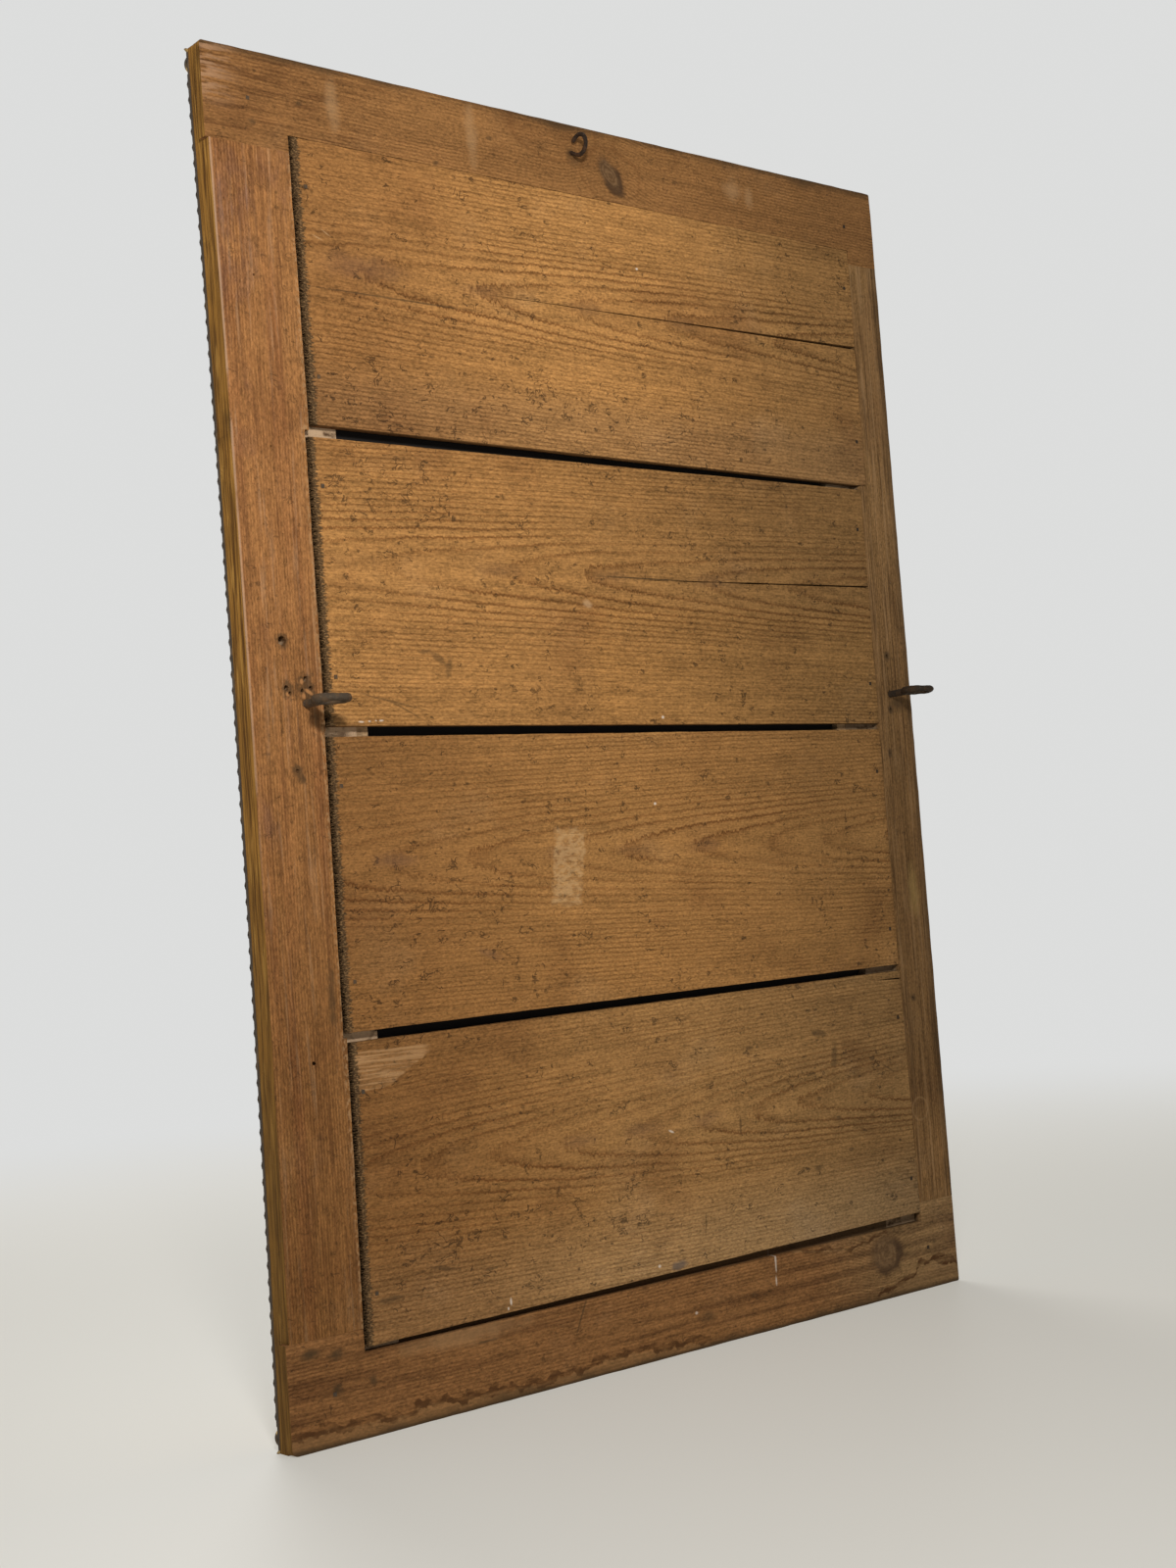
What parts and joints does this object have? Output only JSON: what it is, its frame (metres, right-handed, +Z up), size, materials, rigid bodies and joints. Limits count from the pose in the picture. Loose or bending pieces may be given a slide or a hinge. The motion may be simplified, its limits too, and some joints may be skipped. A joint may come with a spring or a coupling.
{
  "type": "gilt wall mirror",
  "caption": "Tall rectangular wall mirror: gilt moulding with pearl border and sight slip on a rebated pine carcase, nailed backboards, iron side eyes and a hanging hook.",
  "frame": {"origin": "middle of the bottom rail's underside: middle of the width and of the carcase's thickness", "axes": "+Z up, +Y out of the back towards the wall, the mirror faces -Y, +X to the right seen from the front"},
  "size_m": [0.75, 0.0912, 1.06],
  "materials": {
    "pine_frame": "bare aged pine, worn arrises",
    "pine_board": "bare aged pine, rough sawn",
    "pine_block": "bare pine",
    "gilt": "worn gold leaf over red ground",
    "mirror_plate": "old silvered glass",
    "iron": "rusty forged iron"
  },
  "bodies": {
    "root": {"top_rail": "pine_frame", "bottom_rail": "pine_frame", "right_stile": "pine_frame", "left_stile": "pine_frame", "backboard_1": "pine_board", "backboard_2": "pine_board", "backboard_3": "pine_board", "backboard_4": "pine_board", "board_nails": "iron", "corner_nails": "iron", "mirror_plate": "mirror_plate", "plate_blocks": "pine_block", "moulding_top": "gilt", "moulding_bottom": "gilt", "moulding_left": "gilt", "moulding_right": "gilt", "sight_slip_top": "gilt", "sight_slip_bottom": "gilt", "sight_slip_left": "gilt", "sight_slip_right": "gilt", "pearl_strip_top": "gilt", "pearl_strip_bottom": "gilt", "pearl_strip_left": "gilt", "pearl_strip_right": "gilt", "corner_pearls": "gilt", "side_eyes": "iron", "hanging_hook": "iron"}
  },
  "joints": []
}
